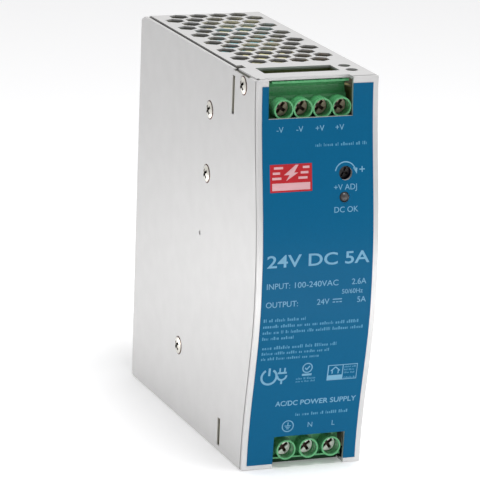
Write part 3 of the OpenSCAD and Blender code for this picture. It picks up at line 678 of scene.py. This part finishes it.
def add_latch_spring():
    """The latch's spring, as a round wire coiled at full length."""
    low, high = (Vector(c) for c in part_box("latch_spring"))
    middle = (low + high) / 2
    radius = (high.x - low.x - SPRING_WIRE) / 2
    rise = high.z - low.z - SPRING_WIRE
    count = SPRING_TURNS * SPRING_POINTS
    coil = []
    for i in range(count + 1):
        turn = math.radians(i * 360 / SPRING_POINTS)
        coil.append(Vector((radius * math.cos(turn) + middle.x, middle.y + radius * math.sin(turn),
                            low.z + SPRING_WIRE / 2 + rise * (i / count))))
    spring = add_piece("spring_coil", *tube(coil, SPRING_WIRE / 2, 10), "bright_steel", "latch_spring")
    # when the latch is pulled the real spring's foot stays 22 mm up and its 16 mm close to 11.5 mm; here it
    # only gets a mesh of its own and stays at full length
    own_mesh(spring)


# in millimetres: the hole through the transformer's winding, and how far its ends are rounded off
WINDING_BORE = 6.7
WINDING_CORNER = 0.7
# bands of tape that show along the winding, each over the edge of the last
TAPE_BANDS = 5


def add_taped_winding():
    """The transformer's winding, wrapped in overlapping tape."""
    low, high = (Vector(c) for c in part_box("transformer_winding"))
    half = (high.x - low.x) / MM / 2
    radius = (high.z - low.z) / 2 / MM
    band = (2 * half - 0.6) / TAPE_BANDS
    rim = radius - WINDING_CORNER
    end = [(half - 0.25, rim + WINDING_CORNER / 2), (half, rim), (half, WINDING_BORE)]
    wrap = [(-x, r) for x, r in reversed(end)]
    for k in range(TAPE_BANDS):
        left = -half + 0.3 + k * band
        wrap += [(left, radius - 0.12), (left + 0.15, radius), (left + band - 0.1, radius - 0.06)]
    shape = lathe(wrap + end, (low + high) / 2, (1, 0, 0))
    add_piece("taped_winding", *shape, "tape_yellow", "transformer_winding")


add_shade_plate()
add_latch_spring()
add_taped_winding()
choke_wire = wound_ring("output_choke_core", wire=0.8 * MM, turns=17, start=4, end=346, thick=2.1 * MM)
add_piece("output_choke_turns", *choke_wire, "enamel_copper", "output_choke_winding")
line_wires = [wound_ring("line_choke_core", wire=0.95 * MM, turns=11, start=start, end=start + 148,
                         thick=4.2 * MM) for start in (16, 196)]
add_piece("line_choke_turns", *merge(line_wires), "enamel_copper", "line_choke_windings")

# how far the edges of CAD nodes are rounded, in millimetres
EDGE_WIDTHS = {
    "chassis": 0.12, "front_panel": 0.12, "side_cover": 0.15, "output_terminal_housing": 0.12,
    "input_terminal_housing": 0.12, "rail_bracket": 0.15, "latch_guide": 0.15, "rail_latch": 0.15,
    "transformer_core": 0.3, "transformer_bobbin": 0.12, "x_capacitor": 0.3, "film_capacitor": 0.3,
    "bridge_rectifier": 0.25, "trimmer_body": 0.15, "power_transistors": 0.12, "heat_spreaders": 0.15,
}
# a bend sharper than this, in degrees, is an edge
EDGE_ANGLE = 35

for name, width in EDGE_WIDTHS.items():
    bevel = nodes[name].modifiers.new("rounded_edges", "BEVEL")
    bevel.width = width * MM
    bevel.segments = 2
    bevel.limit_method = "ANGLE"
    bevel.angle_limit = math.radians(EDGE_ANGLE)


# ---------- camera and light ----------

# the camera's place is given by its target, the angles to it in degrees, and its distance in metres
CAMERA_TARGET = Vector((-4.14 * MM, -1.7 * MM, 61.11 * MM))
AZIMUTH = -21.17
ELEVATION = 14.785
ROLL = 2.07
DISTANCE = 1.098
# in millimetres
SENSOR_WIDTH = 36
FOCAL_LENGTH = 254.56


def add_camera():
    """Camera at the viewing angle, slightly rolled, with no shift."""
    azimuth, elevation, roll = (math.radians(a) for a in (AZIMUTH, ELEVATION, ROLL))
    back = Vector((math.sin(azimuth) * math.cos(elevation), -math.cos(azimuth) * math.cos(elevation),
                   math.sin(elevation)))
    right = Vector((math.cos(azimuth), math.sin(azimuth), 0))
    up = back.cross(right)
    side = right * math.cos(roll) + up * math.sin(roll)
    head = up * math.cos(roll) - right * math.sin(roll)
    data = bpy.data.cameras.new("camera")
    data.sensor_width = SENSOR_WIDTH
    data.lens = FOCAL_LENGTH
    data.clip_end = 20
    cam = bpy.data.objects.new("camera", data)
    bpy.context.scene.collection.objects.link(cam)
    turned = Matrix((side, head, back)).transposed().to_4x4()
    cam.matrix_world = Matrix.Translation(CAMERA_TARGET + back * DISTANCE) @ turned
    bpy.context.scene.camera = cam


FLOOR_REACH = 6
# the floor lies just under the case, so that their faces don't meet
FLOOR_GAP = 0.2 * MM


def add_floor():
    """A plain pale floor that glows a little, so that it stays white."""
    r = FLOOR_REACH
    floor = mesh_object("floor", [(-r, -r, 0), (r, -r, 0), (r, r, 0), (-r, r, 0)], [(0, 1, 2, 3)])
    floor.location.z = cad_box[0][2] - FLOOR_GAP
    mat, _, main, _ = shader("floor_paint")
    main.inputs["Base Color"].default_value = (0.92, 0.92, 0.92, 1)
    main.inputs["Emission Color"].default_value = (1, 1, 1, 1)
    main.inputs["Emission Strength"].default_value = 0.2
    main.inputs["Roughness"].default_value = 0.9
    main.inputs["Specular IOR Level"].default_value = 0.0
    floor.data.materials.append(mat)


def add_surroundings():
    """Plain surroundings, brightest behind the object and dimmer towards the front, left and top."""
    world = bpy.data.worlds.new("studio")
    world.use_nodes = True
    tree = world.node_tree
    x, y, z = split(tree, tree.nodes.new("ShaderNodeTexCoord").outputs["Generated"])
    back = math_node(tree, "MULTIPLY", y, 0.5)
    right = math_node(tree, "MULTIPLY", x, 0.4)
    down = math_node(tree, "MULTIPLY", z, -0.3)
    place = math_node(tree, "ADD", math_node(tree, "ADD", back, right), math_node(tree, "ADD", down, 0.5))
    sky = ramp(tree, place, [(0.0, (0.34, 0.34, 0.35)), (0.3, (0.48, 0.48, 0.49)), (0.6, (1, 1, 1))])
    tree.links.new(sky, tree.nodes["Background"].inputs["Color"])
    tree.nodes["Background"].inputs["Strength"].default_value = 1.0
    bpy.context.scene.world = world


# places in metres that the lights point at
CASE_MIDDLE = (0, 0, 0.06)
CASE_FOOT = (0, 0, 0.03)


def add_light(name, place, size, power, aim):
    """A soft rectangular lamp; place, size and aim are in metres, and power is in watts."""
    data = bpy.data.lights.new(name, "AREA")
    data.shape = "RECTANGLE"
    data.size, data.size_y = size
    data.energy = power
    lamp = bpy.data.objects.new(name, data)
    bpy.context.scene.collection.objects.link(lamp)
    lamp.location = place
    lamp.rotation_euler = (Vector(aim) - Vector(place)).to_track_quat("-Z", "Y").to_euler()


add_camera()
add_floor()
add_surroundings()
add_light("top_light", (0.05, -0.2, 0.9), (0.3, 0.3), 4.5, CASE_MIDDLE)
add_light("key_light", (0.55, -0.6, 0.6), (0.3, 0.3), 0.3, CASE_MIDDLE)
add_light("left_bounce", (-0.16, 0.05, 0.02), (0.25, 0.03), 0.06, CASE_FOOT)
add_light("front_bounce", (0.02, -0.2, 0.0), (0.25, 0.03), 0.17, CASE_FOOT)
bpy.context.scene.view_settings.view_transform = "Standard"
